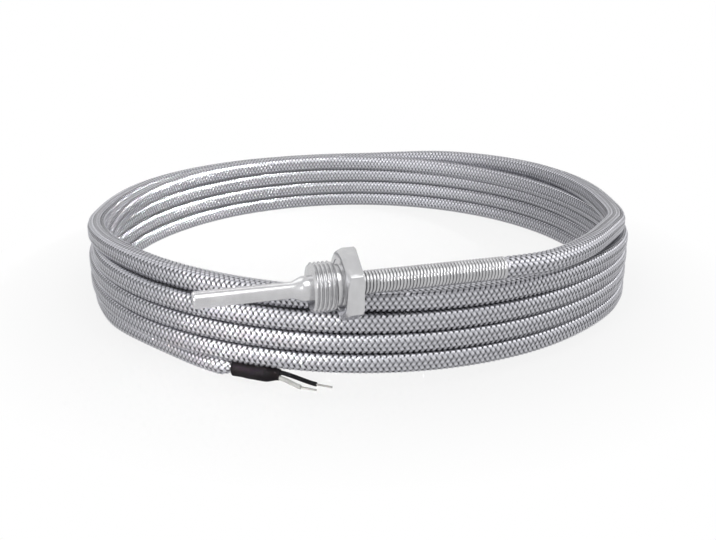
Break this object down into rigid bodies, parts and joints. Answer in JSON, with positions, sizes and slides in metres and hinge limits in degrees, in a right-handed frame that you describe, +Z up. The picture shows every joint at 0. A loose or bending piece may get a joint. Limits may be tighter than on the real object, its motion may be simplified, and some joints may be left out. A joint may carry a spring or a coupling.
{
  "type": "thermocouple probe",
  "caption": "Screw-in temperature probe with a stepped steel tip, a hexagon fitting, a spring against kinks and a long braided cable that lies in a neat upright coil, with two bare wire ends.",
  "frame": {"origin": "on the probe's axis, at the inner end of the thread", "axes": "X along the probe's axis, with the measuring tip at -X and the cable at +X; Z up, and the coil stands on the plane 32 mm below the axis"},
  "size_m": [0.1742, 0.1875, 0.0412],
  "materials": {
    "stainless_steel": "turned and polished",
    "spring_steel": "drawn wire, bright",
    "steel_braid": "woven from fine bright wire",
    "black_shrink": "semi-matt, shrunk",
    "black_insulation": "smooth",
    "white_insulation": "smooth",
    "thermo_wire": "drawn wire, bare",
    "oxide_ceramic": "fired, unglazed",
    "cement": "cast"
  },
  "bodies": {
    "root": {"protection_tube": "stainless_steel", "screw_fitting": "stainless_steel", "kink_spring": "spring_steel", "measuring_junction": "thermo_wire", "positive_leg": "thermo_wire", "negative_leg": "thermo_wire", "ceramic_insulator": "oxide_ceramic", "potting_plug": "cement", "positive_core_sleeve": "black_insulation", "negative_core_sleeve": "white_insulation", "crimp_ferrule": "stainless_steel", "cable_end": "steel_braid", "cable_lead": "steel_braid", "cable_coil": "steel_braid", "cable_tail": "steel_braid", "heat_shrink_sleeve": "black_shrink", "black_lead": "black_insulation", "white_lead": "white_insulation", "black_lead_wire": "thermo_wire", "white_lead_wire": "thermo_wire"}
  },
  "joints": []
}
